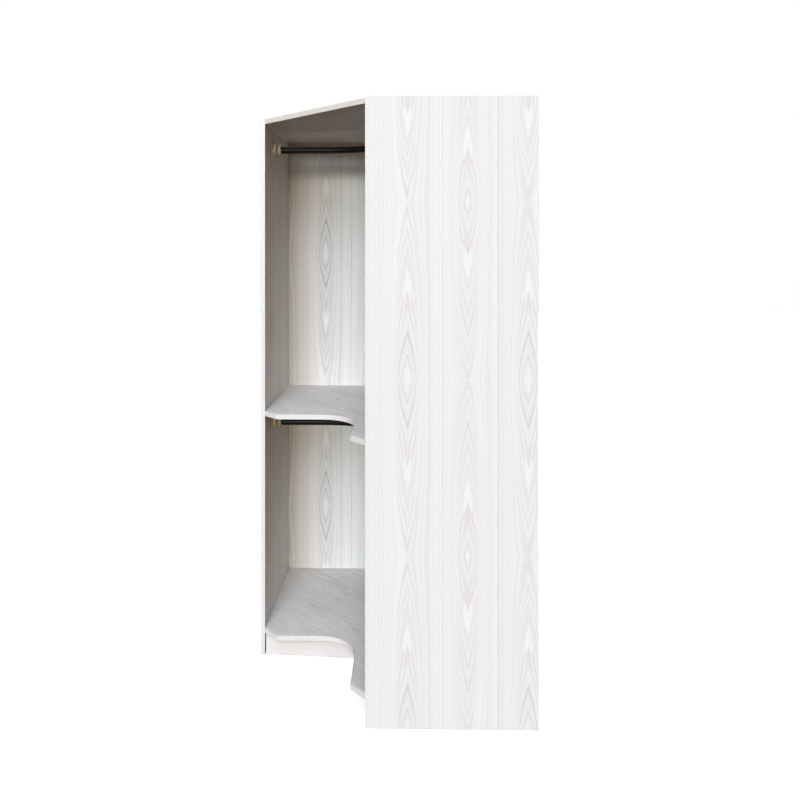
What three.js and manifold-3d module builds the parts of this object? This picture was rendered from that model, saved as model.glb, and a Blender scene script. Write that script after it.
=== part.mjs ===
// Open corner wardrobe: an L-shaped case for the corner of a room, with a diagonal top panel, a
// middle shelf and two bent clothes rails. Millimetres, +Z up, the floor at z = 0.
//
// The plan frame runs x from the left side panel's outer face and y from the right side panel's
// outer face. The room's walls are behind it, at x = wing and at y = wing. The plan is the same on
// both sides of its diagonal, so each left piece has a right one with x and y exchanged.

import * as THREE from 'three';
import { mergeVertices } from 'three/addons/utils/BufferGeometryUtils.js';
import Module from 'manifold-3d';

const wasm = await Module();
wasm.setup();

// Driving sizes of the case
const height = 2000;
const wing = 968; // outer length along each wall
const panelDepth = 548; // side panels, front edge to rear edge
const board = 18; // thickness of every case panel
const plinthHeight = 81; // floor to the underside of the bottom panel
const shelfTop = 909; // floor to the upper side of the middle shelf
const overhang = 53; // shelf and bottom panel in front of the side panels
const filletRadius = 130; // round inner corner of the shelf's front edge
const bandThickness = 2; // edge band on the shelf and the bottom panel
const seam = 0.3; // gap between pieces that meet

// Back panels, their grooves and the rear corner post
const backRecess = 24; // rear edges of the case to the back panels
const backThickness = 4;
const grooveDepth = 8;
const postSize = 39;
const postDowelRadius = 5;
const postDowelBite = 30; // length in the post and in the foot
const postDowelTopBite = 12; // length in the top panel

// Plinth boards
const plinthEndGap = 4.5; // open joint between a plinth and its side panel
const plinthSetback = 24; // how far the plinths' corner comes forward of their outer ends
const plinthDowelRadius = 4;
const plinthDowelInset = 90; // outer end of a plinth to its dowel
const plinthDowelBite = 12; // length in the bottom panel
const plinthDowelDrop = 22; // length in the plinth
const bracketLeg = 32;
const bracketThickness = 2;
const bracketHeight = 40;
const bracketDrop = 20; // underside of the bottom panel to the bracket

// Clothes rails, their sockets and covers
const upperRailDrop = 96; // upper side of the top panel to the upper rail's axis
const lowerRailDrop = 78; // upper side of the shelf to the lower rail's axis
const railSetback = 166; // front edge of a side panel to the rail's axis
const bendRadius = 360; // of the rail's axis
const tubeRadius = 12.5;
const tubeWall = 1.2;
const socketRadius = 25;
const socketLength = 15.5;
const socketFloor = 3;
const socketEdge = 1.2; // chamfer round the socket's rim
const coverLength = 14;
const coverRound = 8; // rounded rim of the cover
const coverWall = 2.5;
const coverCavityDepth = 6;
const coverGap = 3.8; // open joint between the socket and its cover
const coverSlip = 0.45; // running clearance of the cover on the tube
const socketScrewPitch = 19; // rail axis to each screw
const socketScrewRadius = 1.75;
const socketScrewBite = 12; // length in the side panel
const socketScrewHeadRadius = 3.6;
const socketScrewHeadHeight = 2.4;

// Cam fasteners between the side panels and the horizontal panels
const camFrontInset = 50; // front edge of a side panel to the front fastener
const camRearInset = 60; // back panel to the rear fastener
const camDistance = 34; // end of a panel to the cam's axis
const camRadius = 7.2;
const camDepth = 12.5;
const camPocketReach = 4.5; // bolt pocket past the cam's axis
const camPocketRadius = 4.3;
const camSlotLength = 9;
const camSlotWidth = 1.8;
const camSlotDepth = 2.5;
const boltThreadRadius = 3;
const boltThreadLength = 11;
const boltShankRadius = 3.4;
const boltNeckRadius = 2;
const boltNeckLength = 5;
const boltHeadLength = 3;
const boltChamfer = 1;
const boltBoreRadius = 4;

// Facets
const tubeSides = 16;
const boreSides = 8;
const bendSteps = 16;
const filletSteps = 16;
const turnedSides = 20;
const roundSteps = 3;
const smallSides = 10;
const cutOverrun = 1; // how far a cutting tool runs past the face it opens

// Places that follow from the sizes
const caseTop = height - board;
const shelfUnderside = shelfTop - board;
const bottomTop = plinthHeight + board;
const frontLine = wing - panelDepth;
const shelfFront = frontLine - overhang;
const backOuter = wing - backRecess;
const backInner = backOuter - backThickness;
const postFront = wing - postSize;
const postAxis = wing - postSize / 2;
const panelEnd = board + seam;
const railLine = frontLine + railSetback;
const upperRailHeight = height - upperRailDrop;
const lowerRailHeight = shelfTop - lowerRailDrop;
const coverStart = panelEnd + socketLength + coverGap;

const materials = {
  decor: { color: 0xeae8e6, roughness: 0.5, metalness: 0 },
  back: { color: 0xe6e4e2, roughness: 0.6, metalness: 0 },
  band: { color: 0xece8df, roughness: 0.45, metalness: 0 },
  batten: { color: 0xd9c7a8, roughness: 0.75, metalness: 0 },
  tube: { color: 0x121214, roughness: 0.35, metalness: 0.1 },
  fitting: { color: 0xa58c69, roughness: 0.5, metalness: 0 },
  zinc: { color: 0xb9bbbd, roughness: 0.4, metalness: 0.9 },
  dowel: { color: 0xcdb186, roughness: 0.8, metalness: 0 },
};

// The case stands with the middle of its footprint over the origin.
const wardrobe = new THREE.Group();
const plan = new THREE.Group();
plan.position.set(-wing / 2, -wing / 2, 0);
wardrobe.add(plan);

function add(name, geometry, finish) {
  const mesh = new THREE.Mesh(geometry, new THREE.MeshStandardMaterial(materials[finish]));
  mesh.name = name;
  plan.add(mesh);
}

// Geometry with only positions, and with its shared corners merged
function welded(geometry) {
  const bare = geometry.clone();
  bare.deleteAttribute('normal');
  bare.deleteAttribute('uv');
  return mergeVertices(bare);
}

function toSolid(geometry) {
  const closed = welded(geometry);
  const vertProperties = new Float32Array(closed.attributes.position.array);
  const triVerts = new Uint32Array(closed.index.array);
  return new wasm.Manifold(new wasm.Mesh({ numProp: 3, vertProperties, triVerts }));
}

function toGeometry(solid) {
  const { vertProperties, triVerts } = solid.getMesh();
  const geometry = new THREE.BufferGeometry();
  geometry.setAttribute('position', new THREE.BufferAttribute(new Float32Array(vertProperties), 3));
  geometry.setIndex(new THREE.BufferAttribute(new Uint32Array(triVerts), 1));
  geometry.computeVertexNormals();
  return geometry;
}

// The same piece on the other side of the plan's diagonal
function mirrored(geometry) {
  const twin = welded(geometry);
  const { array } = twin.attributes.position;
  for (let i = 0; i < array.length; i += 3) {
    [array[i], array[i + 1]] = [array[i + 1], array[i]];
  }
  const corners = twin.index.array;
  for (let i = 0; i < corners.length; i += 3) {
    [corners[i], corners[i + 1]] = [corners[i + 1], corners[i]];
  }
  twin.computeVertexNormals();
  return twin;
}

function addPair(name, geometry, finish) {
  add(name('left'), geometry, finish);
  add(name('right'), mirrored(geometry), finish);
}

function cut(geometry, tools) {
  const solid = tools.reduce((rest, tool) => rest.subtract(toSolid(tool)), toSolid(geometry));
  return toGeometry(solid);
}

// Each tool once on the left and once on the right of the diagonal
function onBothSides(tools) {
  return tools.flatMap((tool) => [tool, mirrored(tool)]);
}

function box(low, high) {
  const size = high.map((value, axis) => value - low[axis]);
  const middle = high.map((value, axis) => (value + low[axis]) / 2);
  return new THREE.BoxGeometry(...size).translate(...middle);
}

// A plan outline raised from one height to another
function prism(outline, low, high) {
  const shape = new THREE.Shape(outline.map(([x, y]) => new THREE.Vector2(x, y)));
  const geometry = new THREE.ExtrudeGeometry(shape, { depth: high - low, bevelEnabled: false });
  return geometry.translate(0, 0, low);
}

// A turned piece on the line along +x through a point, from pairs of radius and distance along it
function turnedAlongX(profile, sides, [x, y, z]) {
  const points = profile.map(([radius, along]) => new THREE.Vector2(radius, along));
  const geometry = new THREE.LatheGeometry(points, sides).rotateZ(-Math.PI / 2);
  return geometry.translate(x, y, z);
}

function turnedAlongZ(profile, sides, [x, y, z]) {
  const points = profile.map(([radius, along]) => new THREE.Vector2(radius, along));
  const geometry = new THREE.LatheGeometry(points, sides).rotateX(Math.PI / 2);
  return geometry.translate(x, y, z);
}

function rodProfile(radius, length) {
  return [[0, 0], [radius, 0], [radius, length], [0, length]];
}

function rodAlongX(radius, fromX, toX, y, z) {
  return turnedAlongX(rodProfile(radius, toX - fromX), smallSides, [fromX, y, z]);
}

function rodAlongZ(radius, x, y, low, high) {
  return turnedAlongZ(rodProfile(radius, high - low), smallSides, [x, y, low]);
}

// Points along the shelf's front edge, from the left side panel to the right one, moved in by an inset
function frontEdge(inset) {
  const edgeLine = shelfFront + inset;
  const chamferSum = board + frontLine + inset * Math.SQRT2;
  const centre = shelfFront - filletRadius;
  const radius = filletRadius + inset;
  const left = [[panelEnd, chamferSum - panelEnd], [chamferSum - edgeLine, edgeLine]];
  const arc = [];
  for (let step = 0; step <= filletSteps; step += 1) {
    const angle = (Math.PI / 2) * (1 - step / filletSteps);
    arc.push([centre + radius * Math.cos(angle), centre + radius * Math.sin(angle)]);
  }
  const right = left.map(([x, y]) => [y, x]).reverse();
  return [...left, ...arc, ...right];
}

// Cutting tools for the back panels' groove in a horizontal panel
function backGroove(low, high) {
  const ends = [board - cutOverrun, postFront + grooveDepth];
  return box([ends[0], backInner - seam, low], [ends[1], backOuter + seam, high]);
}

// Cam fasteners: each horizontal panel has two at each end
const camPanels = {
  top: { face: height, inward: -1, middle: height - board / 2 },
  shelf: { face: shelfUnderside, inward: 1, middle: shelfTop - board / 2 },
  bottom: { face: plinthHeight, inward: 1, middle: bottomTop - board / 2 },
};
const camLines = { front: frontLine + camFrontInset, rear: backInner - camRearInset };
const camAxis = board + camDistance;

function camTools({ face, inward, middle }) {
  return Object.values(camLines).flatMap((y) => {
    const outside = face - inward * cutOverrun;
    const inside = face + inward * (camDepth + seam);
    const [low, high] = [Math.min(outside, inside), Math.max(outside, inside)];
    return [
      rodAlongZ(camRadius + seam, camAxis, y, low, high),
      rodAlongX(boltBoreRadius, board - cutOverrun, camAxis, y, middle),
    ];
  });
}

function camGeometry({ face, inward, middle }, y) {
  const inside = face + inward * camDepth;
  const slotEnd = face + inward * camSlotDepth;
  const slotStart = face - inward * cutOverrun;
  const body = rodAlongZ(camRadius, camAxis, y, Math.min(face, inside), Math.max(face, inside));
  const pocketStart = camAxis - camRadius - cutOverrun;
  const pocket = rodAlongX(camPocketRadius, pocketStart, camAxis + camPocketReach, y, middle);
  const slot = box(
    [camAxis - camSlotLength / 2, y - camSlotWidth / 2, Math.min(slotStart, slotEnd)],
    [camAxis + camSlotLength / 2, y + camSlotWidth / 2, Math.max(slotStart, slotEnd)],
  );
  return cut(body, [pocket, slot]);
}

function boltGeometry({ middle }, y) {
  const length = boltThreadLength + camDistance + boltHeadLength / 2;
  const neckEnd = length - boltHeadLength;
  const neckStart = neckEnd - boltNeckLength;
  const profile = [
    [0, 0],
    [boltThreadRadius - boltChamfer, 0],
    [boltThreadRadius, boltChamfer],
    [boltThreadRadius, boltThreadLength + seam],
    [boltShankRadius, boltThreadLength + seam],
    [boltShankRadius, neckStart],
    [boltNeckRadius, neckStart],
    [boltNeckRadius, neckEnd],
    [boltShankRadius, neckEnd],
    [boltShankRadius, length - boltChamfer],
    [boltShankRadius - boltChamfer, length],
    [0, length],
  ];
  return turnedAlongX(profile, smallSides, [board - boltThreadLength, y, middle]);
}

function addCamFasteners() {
  for (const [panelName, panel] of Object.entries(camPanels)) {
    for (const [place, y] of Object.entries(camLines)) {
      addPair((side) => `${panelName}_${side}_${place}_cam`, camGeometry(panel, y), 'zinc');
      addPair((side) => `${panelName}_${side}_${place}_bolt`, boltGeometry(panel, y), 'zinc');
    }
  }
}

// Side panels: boards on edge, bored for the bolts and the sockets' screws
function addSidePanels() {
  const groove = box(
    [board - grooveDepth, backInner - seam, bottomTop - grooveDepth],
    [board + cutOverrun, backOuter + seam, caseTop + grooveDepth],
  );
  const boltHoles = Object.values(camPanels).flatMap(({ middle }) =>
    Object.values(camLines).map((y) => {
      const end = board - boltThreadLength - seam;
      return rodAlongX(boltThreadRadius + seam, end, board + cutOverrun, y, middle);
    }));
  const screwHoles = [upperRailHeight, lowerRailHeight].flatMap((railHeight) =>
    [-socketScrewPitch, socketScrewPitch].map((offset) => {
      const end = board - socketScrewBite - seam;
      const radius = socketScrewRadius + seam;
      return rodAlongX(radius, end, board + cutOverrun, railLine, railHeight + offset);
    }));
  const panel = box([0, frontLine, 0], [board, wing, height]);
  addPair((side) => `${side}_side_panel`, cut(panel, [groove, ...boltHoles, ...screwHoles]), 'decor');
}

function addTopPanel() {
  const outline = [
    [panelEnd, frontLine],
    [frontLine, panelEnd],
    [wing, panelEnd],
    [wing, wing],
    [panelEnd, wing],
  ];
  const dowelHole = rodAlongZ(
    postDowelRadius + seam,
    postAxis,
    postAxis,
    caseTop - cutOverrun,
    caseTop + postDowelTopBite + seam,
  );
  const grooves = onBothSides([backGroove(caseTop - cutOverrun, caseTop + grooveDepth)]);
  const cams = onBothSides(camTools(camPanels.top));
  add('top_panel', cut(prism(outline, caseTop, height), [...grooves, ...cams, dowelHole]), 'decor');
}

function addMiddleShelf() {
  const rear = backInner - seam;
  const notch = postFront - seam;
  const leftRear = [[notch, notch], [notch, rear], [panelEnd, rear]];
  const rightRear = [[rear, panelEnd], [rear, notch]];
  const outline = [...frontEdge(bandThickness + seam), ...rightRear, ...leftRear];
  const shelf = prism(outline, shelfUnderside, shelfTop);
  add('middle_shelf', cut(shelf, onBothSides(camTools(camPanels.shelf))), 'decor');
}

function addBottomPanel() {
  const outline = [
    ...frontEdge(bandThickness + seam),
    [wing, panelEnd],
    [wing, wing],
    [panelEnd, wing],
  ];
  const dowelLow = plinthHeight - cutOverrun;
  const postDowelHole = rodAlongZ(
    postDowelRadius + seam,
    postAxis,
    postAxis,
    dowelLow,
    bottomTop + cutOverrun,
  );
  const dowelHigh = plinthHeight + plinthDowelBite + seam;
  const plinthDowelHole = rodAlongZ(plinthDowelRadius + seam, ...plinthDowelPlace(), dowelLow, dowelHigh);
  const grooves = backGroove(bottomTop - grooveDepth, bottomTop + cutOverrun);
  const pairs = onBothSides([grooves, plinthDowelHole, ...camTools(camPanels.bottom)]);
  const panel = prism(outline, plinthHeight, bottomTop);
  add('bottom_panel', cut(panel, [...pairs, postDowelHole]), 'decor');
}

// A strip along the shaped front edge of the shelf or of the bottom panel
function addEdgeBand(name, low, high) {
  const outline = [...frontEdge(0), ...frontEdge(bandThickness).reverse()];
  add(name, prism(outline, low, high), 'band');
}

function addBackPanels() {
  const tongue = grooveDepth - seam;
  const panel = box(
    [board - tongue, backInner, bottomTop - tongue],
    [postFront + tongue, backOuter, caseTop + tongue],
  );
  addPair((side) => `${side}_back_panel`, panel, 'back');
}

// Square post in the rear corner, grooved for both back panels
function addCornerPost() {
  const low = bottomTop + seam;
  const high = caseTop - seam;
  const groove = box(
    [postFront - cutOverrun, backInner - seam, low - cutOverrun],
    [postFront + grooveDepth, backOuter + seam, high + cutOverrun],
  );
  const radius = postDowelRadius + seam;
  const topHole = rodAlongZ(radius, postAxis, postAxis, high - postDowelBite, high + cutOverrun);
  const bottomHole = rodAlongZ(radius, postAxis, postAxis, low - cutOverrun, low + postDowelBite);
  const post = box([postFront, postFront, low], [wing, wing, high]);
  add('rear_corner_post', cut(post, [...onBothSides([groove]), topHole, bottomHole]), 'batten');
  const dowelTop = caseTop + postDowelTopBite;
  const topDowelStart = high - postDowelBite + seam;
  add('post_top_dowel', rodAlongZ(postDowelRadius, postAxis, postAxis, topDowelStart, dowelTop), 'dowel');
}

// Foot under the rear corner, and the dowel that runs through the bottom panel into the post
function addRearFoot() {
  const high = plinthHeight - seam;
  const dowelStart = high - postDowelBite;
  const dowelEnd = bottomTop + postDowelBite - seam;
  const hole = rodAlongZ(
    postDowelRadius + seam,
    postAxis,
    postAxis,
    dowelStart - seam,
    high + cutOverrun,
  );
  add('rear_foot', cut(box([postFront, postFront, 0], [wing, wing, high]), [hole]), 'batten');
  add('post_foot_dowel', rodAlongZ(postDowelRadius, postAxis, postAxis, dowelStart, dowelEnd), 'dowel');
}

// The plinths slant forward a little to a mitred corner under the overhang. Their front faces run
// from the side panels' front corners to a point on the diagonal.
const plinthCorner = frontLine - plinthSetback;
const plinthSlope = plinthSetback / (plinthCorner - board);
const plinthSlant = Math.hypot(1, plinthSlope); // length along the face for each unit of x

function plinthY(x, inset) {
  return frontLine - plinthSlope * (x - board) + inset * plinthSlant;
}

// Point where the line at an inset behind the front face meets the line y = x + offset
function plinthMitre(inset, offset) {
  const x = (plinthY(0, inset) - offset) / (1 + plinthSlope);
  return [x, x + offset];
}

function plinthDowelPlace() {
  const x = board + plinthDowelInset;
  return [x, plinthY(x, board / 2)];
}

function addPlinths() {
  const end = board + plinthEndGap;
  const offset = seam / Math.SQRT2;
  const outline = [
    [end, plinthY(end, 0)],
    plinthMitre(0, offset),
    plinthMitre(board, offset),
    [end, plinthY(end, board)],
  ];
  const high = plinthHeight - seam;
  const place = plinthDowelPlace();
  const dowelStart = high - plinthDowelDrop;
  const hole = rodAlongZ(plinthDowelRadius + seam, ...place, dowelStart - seam, high + cutOverrun);
  const dowel = rodAlongZ(plinthDowelRadius, ...place, dowelStart, plinthHeight + plinthDowelBite);
  addPair((side) => `${side}_plinth`, cut(prism(outline, 0, high), [hole]), 'decor');
  addPair((side) => `${side}_plinth_dowel`, dowel, 'dowel');
}

// Steel angle round the rear of the plinths' mitred corner
function addPlinthBracket() {
  const inner = board + seam;
  const outer = inner + bracketThickness;
  const corners = [inner, outer].map((inset) => plinthMitre(inset, 0));
  const legEnd = corners[0][0] - bracketLeg;
  const leg = [inner, outer].map((inset) => [legEnd, plinthY(legEnd, inset)]);
  const outline = [
    corners[0],
    [...leg[0]].reverse(),
    [...leg[1]].reverse(),
    corners[1],
    leg[1],
    leg[0],
  ];
  const high = plinthHeight - bracketDrop;
  add('plinth_corner_bracket', prism(outline, high - bracketHeight, high), 'zinc');
}

// Axis of a bent rail: straight, a quarter turn and straight. One step of t for each straight.
class RailAxis extends THREE.Curve {
  constructor(start, railHeight) {
    super();
    this.start = start;
    this.railHeight = railHeight;
  }

  getPoint(t, target = new THREE.Vector3()) {
    const step = t * (bendSteps + 2);
    const bendStart = railLine - bendRadius;
    if (step <= 1) {
      return target.set(this.start + (bendStart - this.start) * step, railLine, this.railHeight);
    }
    if (step >= bendSteps + 1) {
      const rest = bendSteps + 2 - step;
      return target.set(railLine, this.start + (bendStart - this.start) * rest, this.railHeight);
    }
    const angle = (Math.PI / 2) * (1 - (step - 1) / bendSteps);
    const x = bendStart + bendRadius * Math.cos(angle);
    const y = bendStart + bendRadius * Math.sin(angle);
    return target.set(x, y, this.railHeight);
  }

  getUtoTmapping(u) {
    return u;
  }
}

function circle(radius, sides, PathType) {
  const path = new PathType();
  for (let side = 0; side < sides; side += 1) {
    const angle = (side / sides) * 2 * Math.PI;
    const [x, y] = [radius * Math.cos(angle), radius * Math.sin(angle)];
    if (side === 0) path.moveTo(x, y);
    else path.lineTo(x, y);
  }
  path.closePath();
  return path;
}

function addRail(name, railHeight) {
  const section = circle(tubeRadius, tubeSides, THREE.Shape);
  section.holes.push(circle(tubeRadius - tubeWall, boreSides, THREE.Path));
  const extrudePath = new RailAxis(board + socketFloor + seam, railHeight);
  const steps = bendSteps + 2;
  add(name, new THREE.ExtrudeGeometry(section, { steps, extrudePath }), 'tube');
}

// A round socket on the side panel that holds the end of the rail, with two screws through it
function addSocket(level, railHeight) {
  const bore = tubeRadius + coverSlip;
  const profile = [
    [0, 0],
    [socketRadius, 0],
    [socketRadius, socketLength - socketEdge],
    [socketRadius - socketEdge, socketLength],
    [bore, socketLength],
    [bore, socketFloor],
    [0, socketFloor],
  ];
  const face = board + seam;
  const socket = turnedAlongX(profile, turnedSides, [face, railLine, railHeight]);
  const screws = { lower: -socketScrewPitch, upper: socketScrewPitch };
  const holes = Object.values(screws).flatMap((offset) => {
    const place = [railLine, railHeight + offset];
    return [
      rodAlongX(socketScrewRadius + seam, face - cutOverrun, face + socketLength, ...place),
      turnedAlongX(screwHeadProfile(seam), smallSides, [face + socketLength, ...place]),
    ];
  });
  addPair((side) => `${level}_${side}_rail_socket`, cut(socket, holes), 'fitting');
  for (const [place, offset] of Object.entries(screws)) {
    const centre = [face + socketLength, railLine, railHeight + offset];
    const screw = turnedAlongX(screwProfile(), smallSides, centre);
    addPair((side) => `${level}_${side}_socket_${place}_screw`, screw, 'zinc');
  }
}

// Countersink for a screw head, with its origin on the socket's front face
function screwHeadProfile(clearance) {
  const head = socketScrewHeadRadius + clearance;
  const neck = socketScrewRadius + clearance;
  return [
    [0, -socketScrewHeadHeight - clearance],
    [neck, -socketScrewHeadHeight - clearance],
    [head, 0],
    [head, cutOverrun],
    [0, cutOverrun],
  ];
}

function screwProfile() {
  const tip = -socketLength - socketScrewBite;
  return [
    [0, tip],
    [socketScrewRadius, tip + 2 * socketScrewRadius],
    [socketScrewRadius, -socketScrewHeadHeight],
    [socketScrewHeadRadius, 0],
    [0, 0],
  ];
}

// A cover cap that slides along the tube, cupped to go over the screw heads
function addCover(level, railHeight) {
  const bore = tubeRadius + coverSlip;
  const cavity = socketRadius - coverWall;
  const shoulder = coverLength - coverRound;
  const rim = [];
  for (let step = 0; step <= roundSteps; step += 1) {
    const angle = (Math.PI / 2) * (step / roundSteps);
    const radius = socketRadius - coverRound + coverRound * Math.cos(angle);
    rim.push([radius, shoulder + coverRound * Math.sin(angle)]);
  }
  const profile = [
    [bore, coverCavityDepth],
    [cavity, coverCavityDepth],
    [cavity, 0],
    [socketRadius, 0],
    ...rim,
    [bore, coverLength],
    [bore, coverCavityDepth],
  ];
  const cover = turnedAlongX(profile, turnedSides, [coverStart, railLine, railHeight]);
  addPair((side) => `${level}_${side}_rail_cover`, cover, 'fitting');
}

addSidePanels();
addTopPanel();
addMiddleShelf();
addBottomPanel();
addEdgeBand('shelf_edge_band', shelfUnderside, shelfTop);
addEdgeBand('bottom_edge_band', plinthHeight, bottomTop);
addBackPanels();
addCornerPost();
addRearFoot();
addPlinths();
addPlinthBracket();
addCamFasteners();
for (const [level, railHeight] of Object.entries({ upper: upperRailHeight, lower: lowerRailHeight })) {
  addRail(`${level}_rail`, railHeight);
  addSocket(level, railHeight);
  addCover(level, railHeight);
}

export default wardrobe;
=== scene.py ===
"""Looks of the open corner wardrobe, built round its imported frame. Metres, +Z up.

The room's corner is at +X +Y and the open front faces -X -Y. The plan is the same on both sides of
its diagonal, so a right piece is its left piece with x and y exchanged.
"""
import math

import bmesh
import bpy
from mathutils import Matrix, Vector


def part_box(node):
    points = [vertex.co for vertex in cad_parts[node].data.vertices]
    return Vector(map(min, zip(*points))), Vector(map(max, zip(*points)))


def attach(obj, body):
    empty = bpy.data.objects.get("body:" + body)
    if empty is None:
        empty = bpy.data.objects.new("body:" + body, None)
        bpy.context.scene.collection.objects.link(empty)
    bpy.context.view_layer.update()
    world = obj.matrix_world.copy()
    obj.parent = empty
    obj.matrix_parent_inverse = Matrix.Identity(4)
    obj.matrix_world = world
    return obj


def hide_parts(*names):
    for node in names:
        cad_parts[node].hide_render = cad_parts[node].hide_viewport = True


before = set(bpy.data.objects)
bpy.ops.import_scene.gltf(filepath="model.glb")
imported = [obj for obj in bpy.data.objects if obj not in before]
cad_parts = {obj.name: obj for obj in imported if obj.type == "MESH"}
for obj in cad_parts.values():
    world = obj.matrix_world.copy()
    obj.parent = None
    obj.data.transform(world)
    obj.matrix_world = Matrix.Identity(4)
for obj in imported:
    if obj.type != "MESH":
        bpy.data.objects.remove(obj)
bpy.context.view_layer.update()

MM = 0.001

# Camera, from the photograph's perspective: level, with its picture shifted down. Lens and sensor are
# in millimetres
CAMERA_PLACE = (0.0917, -2.8335, 1.5281)
CAMERA_TURN = math.radians(1.1013)
CAMERA_LENS = 33.479
CAMERA_SENSOR = 36.0
CAMERA_SHIFT = -0.19307

# Rounding of the edges, and how the CAD faces are cleaned up and sorted
BOARD_EDGE = 0.4 * MM
BATTEN_EDGE = 1.2 * MM
BAND_EDGE = 0.5 * MM
EDGE_SEGMENTS = 2
SHARP_ANGLE = math.radians(30)
FLAT_ANGLE = math.radians(0.5)
MERGE_DISTANCE = 0.001 * MM
STRAIGHT_SHARE = 0.9

# Bent rails: wall, radius of the bend at the tube's axis, and how finely tube and bend are stepped
TUBE_WALL = 1.2 * MM
BEND_RADIUS = 360 * MM
TUBE_SIDES = 48
BEND_STEPS = 72

# Turned forms are rings, so a small radius stands for the axis where the real form is solid
TURNED_SIDES = 72
FLOOR_HOLE = 0.5 * MM
HOLE_TIP = 0.01 * MM

# Rail sockets and their screw holes
SOCKET_FLOOR = 3 * MM
SOCKET_EDGE = 1.6 * MM
SOCKET_EDGE_STEPS = 6
BORE_RADIUS = 12.95 * MM
SCREW_OFFSET = 19 * MM
SCREW_HEAD_RADIUS = 3.9 * MM
SCREW_NECK_RADIUS = 2.05 * MM
SCREW_HEAD_HEIGHT = 2.7 * MM
HOLE_REACH = 30 * MM
OVERRUN = 1 * MM

# Cover caps on the rails
COVER_WALL = 2.5 * MM
COVER_FLOOR = 6 * MM
COVER_ROUND = 8 * MM
COVER_ROUND_STEPS = 14
COVER_LIP = 0.6 * MM

# Figure of the printed ash decor: columns of arches, their rings, and the straight grain between
COLUMN_PITCH = 190.5 * MM
COLUMN_SWAY = 9 * MM
SWAY_RATE = 5.0
ODD_SWAY_SHIFT = 3.7
FIGURE_HALF = 559 * MM
FIGURE_BULGE = 47 * MM
FIGURE_SPREAD = 1.6
RING_COUNT = 6.5
RING_CROWDING = 0.15
RING_STRENGTH_SHIFT = 3.1
ODD_COLUMN_OFFSET = 7.3
ODD_ARCH_SHIFT = 0.185

# Where one column and one crossing of the figure lie, across and along the grain of each board
SIDE_COLUMN = -0.414
SIDE_CROSSING = 0.547
BACK_COLUMN = 0.156
BACK_CROSSING = 0.935
FLAT_COLUMN = 0.05
FLAT_CROSSING = 0.1
PLINTH_COLUMN = 0.0
PLINTH_CROSSING = 0.2

# Colours, as the darker and the paler of a mottled surface where there are two
ASH_PALE = (0.80, 0.768, 0.722, 1.0)
ASH_LINE = (0.51, 0.478, 0.43, 1.0)
ASH_HEART = (0.62, 0.54, 0.485, 1.0)
BAND_CREAM = (0.765, 0.735, 0.68, 1.0)
BAND_PALE = (0.775, 0.74, 0.66, 1.0)
BAND_ASH = (0.765, 0.735, 0.69, 1.0)
BAND_STREAK_SHARE = 0.88
CHIP_COLORS = ((0.36, 0.24, 0.13, 1.0), (0.68, 0.53, 0.35, 1.0))
HARDBOARD_COLORS = ((0.24, 0.135, 0.066, 1.0), (0.36, 0.22, 0.115, 1.0))
SOFTWOOD_COLORS = ((0.46, 0.31, 0.17, 1.0), (0.66, 0.53, 0.36, 1.0))
BEECH_COLORS = ((0.44, 0.29, 0.16, 1.0), (0.62, 0.46, 0.29, 1.0))
ENAMEL_COLORS = ((0.004, 0.004, 0.005, 1.0), (0.008, 0.008, 0.01, 1.0))
SOCKET_BEIGE = ((0.585, 0.485, 0.355, 1.0), (0.665, 0.565, 0.42, 1.0))
COVER_BEIGE = ((0.46, 0.37, 0.265, 1.0), (0.53, 0.435, 0.315, 1.0))
ZINC_COLORS = ((0.52, 0.53, 0.54, 1.0), (0.72, 0.73, 0.74, 1.0))
WHITE = (1.0, 1.0, 1.0, 1.0)


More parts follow.
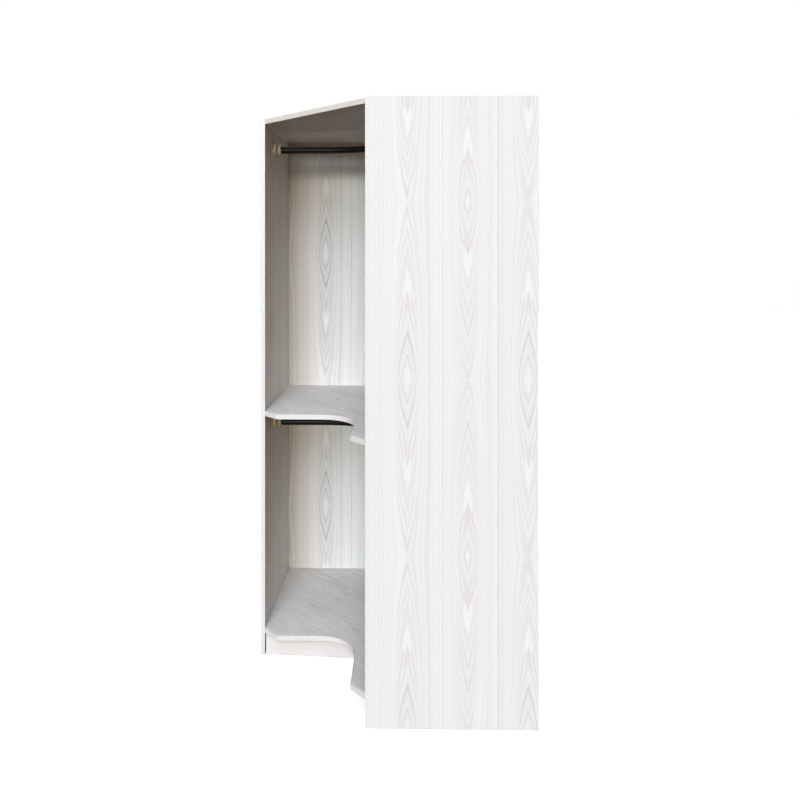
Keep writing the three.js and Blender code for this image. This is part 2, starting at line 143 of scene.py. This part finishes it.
class Graph:
    """Short calls for the nodes of one tree. A value is a number, a tuple or another node's socket."""

    def __init__(self, tree):
        self.tree = tree
        self.tree.nodes.clear()

    def node(self, kind, **settings):
        made = self.tree.nodes.new(kind)
        for name, value in settings.items():
            setattr(made, name, value)
        return made

    def feed(self, socket, value):
        if isinstance(value, bpy.types.NodeSocket):
            self.tree.links.new(value, socket)
        else:
            socket.default_value = value

    def math(self, operation, *values):
        made = self.node("ShaderNodeMath", operation=operation)
        for socket, value in zip(made.inputs, values):
            self.feed(socket, value)
        return made.outputs[0]

    def add(self, first, second):
        return self.math("ADD", first, second)

    def less(self, first, second):
        """The first value less the second."""
        return self.math("SUBTRACT", first, second)

    def times(self, first, second):
        return self.math("MULTIPLY", first, second)

    def power(self, value, exponent):
        return self.math("POWER", value, exponent)

    def rise(self, value, low, high):
        """0 below low, 1 above high and a smooth step between them. It falls where low is above high."""
        made = self.node("ShaderNodeMapRange", interpolation_type="SMOOTHSTEP")
        swapped = low > high
        self.feed(made.inputs["Value"], value)
        made.inputs["From Min"].default_value = min(low, high)
        made.inputs["From Max"].default_value = max(low, high)
        made.inputs["To Min"].default_value = 1.0 if swapped else 0.0
        made.inputs["To Max"].default_value = 0.0 if swapped else 1.0
        return made.outputs["Result"]

    def choose(self, share, low, high):
        """The value low where share is 0, high where it is 1, and a blend of both between."""
        made = self.node("ShaderNodeMix", data_type="FLOAT")
        self.feed(made.inputs[0], share)
        self.feed(made.inputs[2], low)
        self.feed(made.inputs[3], high)
        return made.outputs[0]

    def tint(self, share, low, high):
        """As choose, with colours."""
        made = self.node("ShaderNodeMix", data_type="RGBA")
        self.feed(made.inputs[0], share)
        self.feed(made.inputs[6], low)
        self.feed(made.inputs[7], high)
        return made.outputs[2]

    def join(self, x, y, z=0.0):
        made = self.node("ShaderNodeCombineXYZ")
        for socket, value in zip(made.inputs, (x, y, z)):
            self.feed(socket, value)
        return made.outputs[0]

    def place(self):
        """x, y and z of the surface at rest, which ride with the piece."""
        where = self.node("ShaderNodeTexCoord").outputs["Object"]
        apart = self.node("ShaderNodeSeparateXYZ")
        self.feed(apart.inputs[0], where)
        return tuple(apart.outputs)

    def noise_line(self, value, scale, detail=2.0):
        """Noise along one value, from about 0.2 to 0.8."""
        made = self.node("ShaderNodeTexNoise", noise_dimensions="1D")
        self.feed(made.inputs["W"], value)
        made.inputs["Scale"].default_value = scale
        made.inputs["Detail"].default_value = detail
        return made.outputs["Fac"]

    def noise(self, vector, scale, detail=2.0):
        """Noise in space, from about 0.2 to 0.8."""
        made = self.node("ShaderNodeTexNoise")
        self.feed(made.inputs["Vector"], vector)
        made.inputs["Scale"].default_value = scale
        made.inputs["Detail"].default_value = detail
        return made.outputs["Fac"]

    def bump(self, height, distance):
        made = self.node("ShaderNodeBump")
        made.inputs["Strength"].default_value = 1.0
        made.inputs["Distance"].default_value = distance
        self.feed(made.inputs["Height"], height)
        return made.outputs["Normal"]

    def surface(self, color, roughness, normal=None, **sockets):
        shader = self.node("ShaderNodeBsdfPrincipled")
        self.feed(shader.inputs["Base Color"], color)
        self.feed(shader.inputs["Roughness"], roughness)
        if normal is not None:
            self.feed(shader.inputs["Normal"], normal)
        for name, value in sockets.items():
            shader.inputs[name.replace("_", " ")].default_value = value
        output = self.node("ShaderNodeOutputMaterial")
        self.tree.links.new(shader.outputs["BSDF"], output.inputs["Surface"])


def new_material(name):
    material = bpy.data.materials.new(name)
    material.use_nodes = True
    return material, Graph(material.node_tree)


# Printed ash decor: columns of stacked arches, mirrored about the lines where they cross and about
# the middle of each eye, with straight grain between the columns

def folded_figure(graph, across, along, column_at, crossing_at):
    """Distance to the nearest column's axis, column number, 1 for each odd column, and place in the
    figure, 0 at a crossing and 1 in the middle of an eye."""
    steps = graph.math("DIVIDE", graph.less(across, column_at), COLUMN_PITCH)
    number = graph.math("ROUND", steps)
    offset = graph.times(graph.less(steps, number), COLUMN_PITCH)
    odd = graph.math("FLOORED_MODULO", number, 2.0)
    folded = graph.math("PINGPONG", graph.less(along, crossing_at), FIGURE_HALF)
    share = graph.math("DIVIDE", folded, FIGURE_HALF)
    share = graph.choose(odd, share, graph.less(1.0, share))
    return offset, number, odd, share


def ring_depth(graph, offset, share):
    """How far inside the outermost arch a point lies, below 0 outside it, that arch's half width, and
    the distance to the axis, both as a ratio of FIGURE_BULGE. The arches are steep, and rounder near
    the middle of an eye."""
    sine = graph.math("SINE", graph.times(share, math.pi / 2))
    height = graph.add(graph.times(sine, 0.5), graph.times(share, 0.5))
    ratio = graph.math("DIVIDE", graph.math("ABSOLUTE", offset), FIGURE_BULGE)
    near_eye = graph.rise(share, 0.5, 1.0)
    slope = graph.times(ratio, graph.choose(near_eye, 0.4, 0.15))
    steep = graph.add(slope, graph.times(graph.power(ratio, 4.0), 0.6))
    half_width = graph.times(graph.power(height, 0.45), graph.choose(near_eye, 1.0, 1.09))
    return graph.less(height, steep), half_width, ratio


def straight_place(graph, offset, number, half_width, ratio):
    """Where the line through a point outside the arches passes the crossing, measured across."""
    fade = graph.rise(ratio, 1.95, 0.8)
    pushed = graph.times(graph.power(half_width, FIGURE_SPREAD), fade)
    rest = graph.math("MAXIMUM", graph.less(graph.power(ratio, FIGURE_SPREAD), pushed), 0.0)
    distance = graph.times(graph.power(rest, 1 / FIGURE_SPREAD), FIGURE_BULGE)
    side = graph.math("SIGN", offset)
    return graph.add(graph.times(distance, side), graph.times(number, COLUMN_PITCH))


def ring_wave(graph, turns, rate, sharpness):
    """1 on each line, falling to 0 between the lines, with rate lines for each turn."""
    swing = graph.math("COSINE", graph.times(turns, 2 * math.pi * rate))
    return graph.power(graph.add(graph.times(swing, 0.5), 0.5), sharpness)


def ring_lines(graph, depth, odd, flank):
    """Darkness of the lines inside the arches. Two fainter lines lie between each two strong ones, but
    hardly show on the flanks, where lines run close together. The middle of an eye is pale."""
    inner = graph.math("MAXIMUM", depth, 0.0)
    crowded = graph.add(inner, graph.times(graph.power(inner, 8.0), RING_CROWDING))
    crowded = graph.add(crowded, graph.times(odd, ODD_COLUMN_OFFSET))
    uneven = graph.noise_line(crowded, scale=6.0)
    turns = graph.add(graph.times(crowded, RING_COUNT), uneven)
    faint = ring_wave(graph, turns, rate=3.0, sharpness=1.2)
    clear = ring_wave(graph, turns, rate=1.0, sharpness=2.0)
    wave = graph.add(graph.times(clear, 0.6), graph.times(faint, graph.choose(flank, 0.6, 0.15)))
    wave = graph.times(wave, graph.rise(depth, 0.985, 0.955))
    strength = graph.noise_line(graph.add(crowded, RING_STRENGTH_SHIFT), scale=13.0, detail=1.0)
    strong = graph.rise(strength, 0.3, 0.65)
    strong = graph.math("MAXIMUM", strong, graph.times(graph.rise(depth, 0.68, 0.8), 0.5))
    fine = graph.rise(graph.noise_line(crowded, scale=45.0, detail=1.0), 0.45, 0.8)
    return graph.add(graph.times(wave, graph.choose(strong, 0.4, 0.66)), graph.times(fine, 0.2))


def straight_lines(graph, outside):
    """Darkness of the upright lines between the columns, fine ones over broad bands."""
    bands = graph.rise(graph.noise_line(outside, scale=26.0, detail=1.0), 0.35, 0.7)
    lines = graph.rise(graph.noise_line(outside, scale=120.0, detail=1.0), 0.46, 0.74)
    fine = graph.rise(graph.noise_line(outside, scale=380.0), 0.42, 0.72)
    dark = graph.add(graph.times(lines, 0.45), graph.times(fine, 0.5))
    return graph.add(graph.times(dark, graph.choose(bands, 0.45, 1.0)), graph.times(bands, 0.06))


def ash_lines(graph, across, along, column_at, crossing_at):
    """Darkness of the grain's lines, and of the brown heart of each arch, from 0 to 1."""
    offset, number, odd, share = folded_figure(graph, across, along, column_at, crossing_at)
    up_column = graph.add(graph.times(share, SWAY_RATE), graph.times(odd, ODD_SWAY_SHIFT))
    sway = graph.noise_line(up_column, scale=1.0)
    offset = graph.add(offset, graph.times(graph.less(sway, 0.5), COLUMN_SWAY))
    depth, half_width, ratio = ring_depth(graph, offset, share)
    outside = straight_place(graph, offset, number, half_width, ratio)
    inside = graph.rise(depth, -0.02, 0.03)
    flank = graph.rise(ratio, 0.5, 0.8)
    dark = graph.choose(inside, straight_lines(graph, outside), ring_lines(graph, depth, odd, flank))

    middle = graph.rise(ratio, 0.32, 0.08)
    shifted = graph.less(depth, graph.times(odd, ODD_ARCH_SHIFT))
    pale_arch = graph.times(graph.rise(shifted, 0.47, 0.51), graph.rise(shifted, 0.61, 0.59))
    dark = graph.less(dark, graph.times(pale_arch, middle))
    heart = graph.times(graph.rise(shifted, 0.59, 0.61), graph.rise(shifted, 0.70, 0.63))
    tip = graph.times(graph.rise(depth, 0.0, 0.02), graph.rise(depth, 0.09, 0.03))
    heart = graph.math("MAXIMUM", heart, graph.times(tip, 0.6))
    return graph.math("MAXIMUM", dark, 0.0), graph.times(heart, middle)


def pore_streaks(graph, across, along, streaks_along=60.0, streaks_across=1100.0):
    """Short dark streaks along the grain, from 0 to 1, with so many to a metre each way."""
    where = graph.join(graph.times(across, streaks_across), graph.times(along, streaks_along))
    return graph.rise(graph.noise(where, scale=1.0), 0.5, 0.78)


def ash_decor(name, across_along, column_at, crossing_at, line_share=0.7, streak_share=0.0):
    """The printed ash. The shares say how dark its lines are, and its long streaks on lying boards."""
    material, graph = new_material(name)
    across, along = across_along(graph)
    dark, heart = ash_lines(graph, across, along, column_at, crossing_at)
    dark = graph.times(dark, graph.choose(heart, line_share, 0.5 * line_share))
    pores = pore_streaks(graph, across, along)
    tone = graph.add(dark, graph.times(pores, 0.2))
    if streak_share > 0:
        streaks = pore_streaks(graph, across, along, streaks_along=9.0, streaks_across=85.0)
        tone = graph.add(tone, graph.times(streaks, streak_share))
    color = graph.tint(graph.math("MINIMUM", tone, 1.0), ASH_PALE, ASH_LINE)
    color = graph.tint(graph.times(heart, 0.5), color, ASH_HEART)
    roughness = graph.add(graph.times(tone, 0.12), 0.5)
    normal = graph.bump(graph.times(tone, -1.0), 0.06 * MM)
    graph.surface(color, roughness, normal, Specular_IOR_Level=0.2)
    return material


def upright(graph):
    """Grain that runs up a board parallel to a wall."""
    x, y, z = graph.place()
    return graph.add(x, y), z


def diagonal(graph):
    """Grain parallel to the diagonal front."""
    x, y, _ = graph.place()
    half = math.sqrt(0.5)
    return graph.times(graph.add(x, y), half), graph.times(graph.less(x, y), half)


def lying(graph):
    """Grain that runs along a low upright board under either arm."""
    x, y, z = graph.place()
    return z, graph.less(x, y)


def edge_band_plastic(name, color):
    material, graph = new_material(name)
    x, y, z = graph.place()
    across = graph.times(z, 900.0)
    along = graph.times(graph.less(x, y), 30.0)
    streak = graph.noise(graph.join(across, along), scale=1.0)
    darker = tuple(BAND_STREAK_SHARE * part for part in color[:3]) + (1.0,)
    shade = graph.tint(graph.rise(streak, 0.4, 0.75), color, darker)
    normal = graph.bump(streak, 0.03 * MM)
    graph.surface(shade, roughness=0.45, normal=normal, Specular_IOR_Level=0.4)
    return material


def chipboard():
    material, graph = new_material("chipboard")
    x, y, z = graph.place()
    where = graph.join(x, y, z)
    flakes = graph.node("ShaderNodeTexVoronoi", feature="F1")
    graph.feed(flakes.inputs["Vector"], where)
    flakes.inputs["Scale"].default_value = 420.0
    chip = graph.node("ShaderNodeSeparateColor")
    graph.feed(chip.inputs[0], flakes.outputs["Color"])
    fine = graph.noise(where, scale=900.0, detail=3.0)
    tone = graph.add(graph.times(chip.outputs[0], 0.6), graph.times(fine, 0.4))
    color = graph.tint(tone, *CHIP_COLORS)
    graph.surface(color, roughness=0.85, normal=graph.bump(tone, 0.3 * MM))
    return material


def hardboard():
    material, graph = new_material("hardboard")
    x, y, z = graph.place()
    where = graph.join(x, y, z)
    mesh_marks = graph.noise(where, scale=700.0)
    fibres = graph.noise(where, scale=110.0, detail=4.0)
    cloud = graph.noise(where, scale=6.0, detail=3.0)
    fine = graph.add(graph.times(mesh_marks, 0.45), graph.times(fibres, 0.4))
    tone = graph.add(fine, graph.times(cloud, 0.15))
    color = graph.tint(graph.rise(tone, 0.3, 0.7), *HARDBOARD_COLORS)
    graph.surface(color, roughness=0.8, normal=graph.bump(mesh_marks, 0.2 * MM))
    return material


def softwood():
    material, graph = new_material("softwood")
    x, y, z = graph.place()
    across = graph.add(x, y)
    bend = graph.noise(graph.join(x, y, graph.times(z, 0.2)), scale=14.0)
    rings = graph.noise_line(graph.add(across, graph.times(bend, 20 * MM)), scale=260.0)
    pores = pore_streaks(graph, across, z, streaks_along=40.0, streaks_across=900.0)
    tone = graph.add(graph.times(graph.rise(rings, 0.42, 0.66), 0.7), graph.times(pores, 0.3))
    late, early = SOFTWOOD_COLORS
    color = graph.tint(tone, early, late)
    graph.surface(color, roughness=0.72, normal=graph.bump(tone, -0.1 * MM))
    return material


def beech():
    material, graph = new_material("beech")
    x, y, z = graph.place()
    thin = 900.0
    long = 80.0
    where = graph.join(graph.times(x, thin), graph.times(y, thin), graph.times(z, long))
    fleck = graph.noise(where, scale=1.0)
    dark, pale = BEECH_COLORS
    color = graph.tint(graph.rise(fleck, 0.4, 0.7), pale, dark)
    graph.surface(color, roughness=0.7, normal=graph.bump(fleck, 0.05 * MM))
    return material


def black_enamel():
    material, graph = new_material("black_enamel")
    x, y, z = graph.place()
    where = graph.join(x, y, z)
    peel = graph.noise(where, scale=420.0)
    cloud = graph.noise(where, scale=30.0)
    color = graph.tint(cloud, *ENAMEL_COLORS)
    roughness = graph.add(graph.times(cloud, 0.12), 0.4)
    normal = graph.bump(peel, 0.02 * MM)
    graph.surface(color, roughness, normal, Specular_IOR_Level=0.3)
    return material


def beige_plastic(name, colors):
    material, graph = new_material(name)
    x, y, z = graph.place()
    where = graph.join(x, y, z)
    grain = graph.noise(where, scale=1600.0)
    flow = graph.noise(where, scale=60.0)
    color = graph.tint(flow, *colors)
    roughness = graph.add(graph.times(grain, 0.15), 0.38)
    graph.surface(color, roughness, graph.bump(grain, 0.04 * MM))
    return material


def zinc():
    material, graph = new_material("zinc")
    x, y, z = graph.place()
    where = graph.join(x, y, z)
    cloud = graph.noise(where, scale=350.0, detail=3.0)
    color = graph.tint(cloud, *ZINC_COLORS)
    roughness = graph.add(graph.times(cloud, 0.25), 0.25)
    graph.surface(color, roughness, graph.bump(cloud, 0.02 * MM), Metallic=1.0)
    return material


# Mesh helpers

def mesh_piece(name, form):
    """A shown piece from a bmesh, with smooth faces and sharp creases."""
    mesh = bpy.data.meshes.new(name)
    form.normal_update()
    form.to_mesh(mesh)
    form.free()
    for face in mesh.polygons:
        face.use_smooth = True
    mesh.set_sharp_from_angle(angle=SHARP_ANGLE)
    piece = bpy.data.objects.new(name, mesh)
    bpy.context.scene.collection.objects.link(piece)
    return piece


def soften(piece, width):
    """Rounds the piece's sharp creases and keeps its flat faces flat in the light."""
    bevel = piece.modifiers.new("soft_edges", "BEVEL")
    bevel.width = width
    bevel.segments = EDGE_SEGMENTS
    bevel.limit_method = "ANGLE"
    bevel.angle_limit = SHARP_ANGLE
    bevel.use_clamp_overlap = False
    bevel.harden_normals = True


def copied_form(node):
    """The node's shape with its shared corners merged and its flat faces in one piece."""
    form = bmesh.new()
    form.from_mesh(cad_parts[node].data)
    bmesh.ops.remove_doubles(form, verts=form.verts, dist=MERGE_DISTANCE)
    bmesh.ops.dissolve_limit(form, angle_limit=FLAT_ANGLE, verts=form.verts, edges=form.edges)
    return form


def facing(normal):
    """The axis and sign that a face looks along, such as +z, or slant where it is between two."""
    parts = dict(zip("xyz", normal))
    axis = max(parts, key=lambda name: abs(parts[name]))
    if abs(parts[axis]) < STRAIGHT_SHARE:
        return "slant"
    return ("+" if parts[axis] > 0 else "-") + axis


def stand_in(piece, node, body="case"):
    """Shows the piece in place of the CAD node, on the body that carries it."""
    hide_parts(node)
    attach(piece, body)


def board(node, finishes, edge=BOARD_EDGE):
    """A softened copy of a board. finishes maps each way of facing to a material, and other faces
    take the one under None."""
    piece = mesh_piece(f"{node}_board", copied_form(node))
    materials = list(dict.fromkeys(finishes.values()))
    for material in materials:
        piece.data.materials.append(material)
    for face in piece.data.polygons:
        finish = finishes.get(facing(face.normal), finishes[None])
        face.material_index = materials.index(finish)
    soften(piece, edge)
    stand_in(piece, node)


def swap_sides(form):
    """Moves the form to the other side of the plan's diagonal."""
    for vertex in form.verts:
        vertex.co.x, vertex.co.y = vertex.co.y, vertex.co.x
    bmesh.ops.reverse_faces(form, faces=form.faces)


def ring_of(form, points):
    """New corners at the points."""
    return [form.verts.new(point) for point in points]


def skin(form, rings, closed=False):
    """Faces between each ring of corners and the next, and from the last to the first if closed."""
    pairs = list(zip(rings, rings[1:]))
    if closed:
        pairs.append((rings[-1], rings[0]))
    for first, second in pairs:
        count = len(first)
        for i in range(count):
            j = (i + 1) % count
            form.faces.new((first[i], first[j], second[j], second[i]))


def turned_form(profile, start, centre_y, centre_z):
    """A closed ring of revolution about a line along +X. profile holds (radius, distance from start)."""
    form = bmesh.new()
    rings = []
    for radius, distance in profile:
        angles = [2 * math.pi * i / TURNED_SIDES for i in range(TURNED_SIDES)]
        rings.append(ring_of(form, [
            (start + distance, centre_y + radius * math.cos(a), centre_z + radius * math.sin(a))
            for a in angles]))
    skin(form, rings, closed=True)
    bmesh.ops.recalc_face_normals(form, faces=form.faces)
    return form


def rounding(radius, centre, steps):
    """Points on a quarter circle, as (radius from the axis, distance along it)."""
    angles = [math.pi / 2 * i / steps for i in range(steps + 1)]
    return [
        (centre[0] + radius * math.cos(angle), centre[1] + radius * math.sin(angle))
        for angle in angles]


# Pieces

def make_boards(decor, band, chip, back, hard, batten):
    """All flat boards, their edge bands and the post and foot of the rear corner."""
    side_plan = {"left": "xy", "right": "yx"}
    for side, (through, along) in side_plan.items():
        finishes = {f"+{through}": decor["side"], f"-{through}": decor["side"],
                    f"-{along}": band["ash"], "+z": band["ash"], None: chip}
        board(f"{side}_side_panel", finishes)
        # The plinth takes the paler copy of the decor, which is painted light.
        finishes = {f"+{along}": decor["plinth"], f"-{along}": decor["plinth"], None: chip}
        board(f"{side}_plinth", finishes)
        finishes = {f"-{along}": back, None: hard}
        board(f"{side}_back_panel", finishes)
    flat = {"+z": decor["flat"], "-z": decor["flat"], None: chip}
    board("top_panel", {**flat, "slant": band["pale"]})
    board("middle_shelf", {**flat, "slant": chip})
    board("bottom_panel", {**flat, "slant": chip})
    for level in ("shelf", "bottom"):
        board(f"{level}_edge_band", {None: band["cream"]}, BAND_EDGE)
    for node in ("rear_corner_post", "rear_foot"):
        board(node, {None: batten}, BATTEN_EDGE)


def rail_sections(low, high):
    """Centre and sideways direction of each section along a rail: straight, a quarter turn, straight."""
    radius = (high.z - low.z) / 2
    line = high.y - radius
    height = (high.z + low.z) / 2
    bend_start = line - BEND_RADIUS
    sections = [(Vector((low.x, line, height)), Vector((0, 1, 0)))]
    for step in range(BEND_STEPS + 1):
        angle = math.pi / 2 * (1 - step / BEND_STEPS)
        out = Vector((math.cos(angle), math.sin(angle), 0))
        centre = Vector((bend_start, bend_start, height)) + BEND_RADIUS * out
        sections.append((centre, out))
    sections.append((Vector((line, low.y, height)), Vector((1, 0, 0))))
    return radius, sections


def make_rail(level, enamel):
    """A bent tube with an open bore."""
    node = f"{level}_rail"
    radius, sections = rail_sections(*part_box(node))
    form = bmesh.new()
    up = Vector((0, 0, 1))
    walls = []
    for reach in (radius, radius - TUBE_WALL):
        rings = []
        for centre, out in sections:
            angles = [2 * math.pi * i / TUBE_SIDES for i in range(TUBE_SIDES)]
            rings.append(ring_of(form, [
                centre + reach * (math.cos(a) * out + math.sin(a) * up) for a in angles]))
        skin(form, rings)
        walls.append(rings)
    for end in (0, -1):
        skin(form, [walls[0][end], walls[1][end]])
    bmesh.ops.recalc_face_normals(form, faces=form.faces)
    piece = mesh_piece(f"{node}_tube", form)
    piece.data.materials.append(enamel)
    stand_in(piece, node)


def screw_hole(face, centre_y, centre_z):
    """A countersunk hole through the socket, as a tool to cut with."""
    profile = [
        (HOLE_TIP, -HOLE_REACH),
        (SCREW_NECK_RADIUS, -HOLE_REACH),
        (SCREW_NECK_RADIUS, -SCREW_HEAD_HEIGHT),
        (SCREW_HEAD_RADIUS, 0),
        (SCREW_HEAD_RADIUS, OVERRUN),
        (HOLE_TIP, OVERRUN),
    ]
    return turned_form(profile, face, centre_y, centre_z)


def drill(piece, tool):
    """Cuts the tool's form out of the piece."""
    cutter = mesh_piece("cutter", tool)
    cut = piece.modifiers.new("hole", "BOOLEAN")
    cut.operation = "DIFFERENCE"
    cut.object = cutter
    with bpy.context.temp_override(object=piece, active_object=piece):
        bpy.ops.object.modifier_apply(modifier=cut.name)
    bpy.data.objects.remove(cutter)


def make_socket(level, side, plastic):
    """A round socket with a bore for the rail and two screw holes."""
    node = f"{level}_{side}_rail_socket"
    low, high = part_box(f"{level}_left_rail_socket")
    radius = (high.z - low.z) / 2
    length = high.x - low.x
    centre_y = (low.y + high.y) / 2
    centre_z = (low.z + high.z) / 2
    rim = rounding(SOCKET_EDGE, (radius - SOCKET_EDGE, length - SOCKET_EDGE), SOCKET_EDGE_STEPS)
    profile = [
        (FLOOR_HOLE, 0),
        (radius, 0),
        *rim,
        (BORE_RADIUS + SOCKET_EDGE / 2, length),
        (BORE_RADIUS, length - SOCKET_EDGE / 2),
        (BORE_RADIUS, SOCKET_FLOOR),
        (FLOOR_HOLE, SOCKET_FLOOR),
    ]
    form = turned_form(profile, low.x, centre_y, centre_z)
    holes = [screw_hole(high.x, centre_y, centre_z + way * SCREW_OFFSET) for way in (-1, 1)]
    if side == "right":
        swap_sides(form)
        for hole in holes:
            swap_sides(hole)
    piece = mesh_piece(f"{node}_body", form)
    for hole in holes:
        drill(piece, hole)
    piece.data.materials.append(plastic)
    stand_in(piece, node)


def make_cover(level, side, plastic):
    """A hollow cap that slides along the rail."""
    node = f"{level}_{side}_rail_cover"
    low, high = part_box(f"{level}_left_rail_cover")
    radius = (high.z - low.z) / 2
    length = high.x - low.x
    centre_y = (low.y + high.y) / 2
    centre_z = (low.z + high.z) / 2
    crown = rounding(COVER_ROUND, (radius - COVER_ROUND, length - COVER_ROUND), COVER_ROUND_STEPS)
    profile = [
        (BORE_RADIUS, COVER_FLOOR),
        (radius - COVER_WALL, COVER_FLOOR),
        (radius - COVER_WALL, 0),
        (radius - COVER_LIP, 0),
        (radius, COVER_LIP),
        *crown,
        (BORE_RADIUS + COVER_LIP, length),
        (BORE_RADIUS, length - COVER_LIP),
    ]
    form = turned_form(profile, low.x, centre_y, centre_z)
    if side == "right":
        swap_sides(form)
    piece = mesh_piece(f"{node}_cap", form)
    piece.data.materials.append(plastic)
    stand_in(piece, node, f"{level}_{side}_cover")


def paint_fittings(steel, peg):
    """Materials for the small CAD pieces that keep their own shape."""
    for name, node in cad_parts.items():
        words = name.split("_")
        if words[-1] in ("cam", "bolt", "screw", "bracket"):
            finish = steel
        elif words[-1] == "dowel":
            finish = peg
        else:
            continue
        node.data.materials.clear()
        node.data.materials.append(finish)


# Floor, light and camera

FLOOR_REACH = 14.0
FLOOR_COLOR = (0.8, 0.8, 0.8, 1.0)
FLOOR_GLOW = 0.6
FLOOR_FADE = (1.5, 4.0)
HORIZON_BLEND = 0.05
WORLD_SKY = (0.02, 0.012, 0.006, 1.0)
WORLD_GROUND = (0.05, 0.012, 0.002, 1.0)

# Soft distant lights: azimuth from the front towards +X, elevation and spread in degrees, brightness
# and colour
LIGHTS = {
    "far_left": (-62, 14, 20, 0.7, (1.0, 0.77, 0.7)),
    "low_far_left": (-22, 10, 11, 0.33, (0.77, 0.93, 0.92)),
    "low_left": (-12, 9, 11, 0.73, (0.72, 0.84, 0.99)),
    "low": (-2, 8, 12, 0.89, (0.88, 0.9, 0.82)),
    "low_right": (9, 10, 11, 0.2, (1.0, 0.7, 0.5)),
    "right": (20, 11, 12, 0.12, (1.0, 0.7, 0.4)),
    "left": (-25, 24, 26, 0.1, (0.7, 0.85, 0.9)),
    "front": (-3, 29, 22, 1.22, (0.65, 0.76, 0.99)),
    "high": (14, 38, 26, 0.27, (0.75, 0.9, 0.85)),
    "steep": (-5, 50, 26, 0.58, (0.82, 0.79, 0.95)),
    "over": (0, 72, 40, 1.08, (0.7, 0.82, 0.97)),
    "side": (-140, 15, 20, 3.2, (0.89, 0.93, 0.97)),
    "rear": (130, 18, 40, 2.2, (0.89, 0.93, 0.97)),
}
VIEW_GAMMA = 0.9


def make_floor():
    """A pale floor that brightens into the white background away from the wardrobe."""
    form = bmesh.new()
    corners = [(-1, -1), (1, -1), (1, 1), (-1, 1)]
    form.faces.new(ring_of(form, [(FLOOR_REACH * x, FLOOR_REACH * y, 0.0) for x, y in corners]))
    floor = mesh_piece("floor", form)
    material, graph = new_material("floor_paint")
    x, y, _ = graph.place()
    distance = graph.math("SQRT", graph.add(graph.times(x, x), graph.times(y, y)))
    glow = graph.choose(graph.rise(distance, *FLOOR_FADE), FLOOR_GLOW, 1.0)
    graph.surface(FLOOR_COLOR, roughness=0.9, Emission_Color=WHITE)
    shader = graph.tree.nodes["Principled BSDF"]
    graph.feed(shader.inputs["Emission Strength"], glow)
    floor.data.materials.append(material)
    floor.visible_diffuse = False
    floor.visible_glossy = False


def make_world():
    """White where the camera sees it, and a faint warm light all round for everything else."""
    world = bpy.data.worlds.new("studio")
    world.use_nodes = True
    bpy.context.scene.world = world
    graph = Graph(world.node_tree)
    way = graph.node("ShaderNodeSeparateXYZ")
    graph.feed(way.inputs[0], graph.node("ShaderNodeTexCoord").outputs["Generated"])
    ambient = graph.node("ShaderNodeBackground")
    upward = graph.rise(way.outputs[2], -HORIZON_BLEND, HORIZON_BLEND)
    graph.feed(ambient.inputs["Color"], graph.tint(upward, WORLD_GROUND, WORLD_SKY))
    seen = graph.node("ShaderNodeBackground")
    seen.inputs["Color"].default_value = WHITE
    mix = graph.node("ShaderNodeMixShader")
    graph.feed(mix.inputs[0], graph.node("ShaderNodeLightPath").outputs["Is Camera Ray"])
    graph.feed(mix.inputs[1], ambient.outputs[0])
    graph.feed(mix.inputs[2], seen.outputs[0])
    output = graph.node("ShaderNodeOutputWorld")
    graph.feed(output.inputs["Surface"], mix.outputs[0])


def make_lights():
    """Each light shines on the wardrobe from its own side."""
    for name, (azimuth, elevation, spread, brightness, color) in LIGHTS.items():
        lamp = bpy.data.lights.new(name, "SUN")
        lamp.energy = brightness
        lamp.angle = math.radians(spread)
        lamp.color = color
        light = bpy.data.objects.new(name, lamp)
        turn = math.radians(azimuth)
        rise = math.radians(elevation)
        level = math.cos(rise)
        source = Vector((math.sin(turn) * level, -math.cos(turn) * level, math.sin(rise)))
        light.rotation_euler = (-source).to_track_quat("-Z", "Y").to_euler()
        bpy.context.scene.collection.objects.link(light)


def make_camera():
    """The photograph's camera and its plain rendering of tones."""
    lens = bpy.data.cameras.new("camera")
    lens.lens = CAMERA_LENS
    lens.sensor_width = CAMERA_SENSOR
    lens.shift_y = CAMERA_SHIFT
    camera = bpy.data.objects.new("camera", lens)
    camera.location = CAMERA_PLACE
    camera.rotation_euler = (math.pi / 2, 0.0, CAMERA_TURN)
    scene = bpy.context.scene
    scene.collection.objects.link(camera)
    scene.camera = camera
    scene.view_settings.view_transform = "Standard"
    scene.view_settings.gamma = VIEW_GAMMA


def make_wardrobe():
    """All pieces with their materials."""
    decor = {
        "side": ash_decor("ash_side", upright, SIDE_COLUMN, SIDE_CROSSING),
        "flat": ash_decor(
            "ash_flat", diagonal, FLAT_COLUMN, FLAT_CROSSING, line_share=0.65, streak_share=0.45),
        # The plinth's copy of the decor has faint lines, so it is paler than the other boards. This is
        # painted light: it brightens the plinth in the shade under the bottom board's overhang.
        "plinth": ash_decor("ash_plinth_painted_light", lying, PLINTH_COLUMN, PLINTH_CROSSING, line_share=0.25),
    }
    back = ash_decor("ash_back", upright, BACK_COLUMN, BACK_CROSSING, line_share=1.3)
    band = {
        "cream": edge_band_plastic("band_cream", BAND_CREAM),
        "pale": edge_band_plastic("band_pale", BAND_PALE),
        "ash": edge_band_plastic("band_ash", BAND_ASH),
    }
    make_boards(decor, band, chipboard(), back, hardboard(), softwood())
    enamel = black_enamel()
    socket_plastic = beige_plastic("socket_plastic", SOCKET_BEIGE)
    cover_plastic = beige_plastic("cover_plastic", COVER_BEIGE)
    for level in ("upper", "lower"):
        make_rail(level, enamel)
        for side in ("left", "right"):
            make_socket(level, side, socket_plastic)
            make_cover(level, side, cover_plastic)
    paint_fittings(zinc(), beech())


make_camera()
make_wardrobe()
make_floor()
make_world()
make_lights()
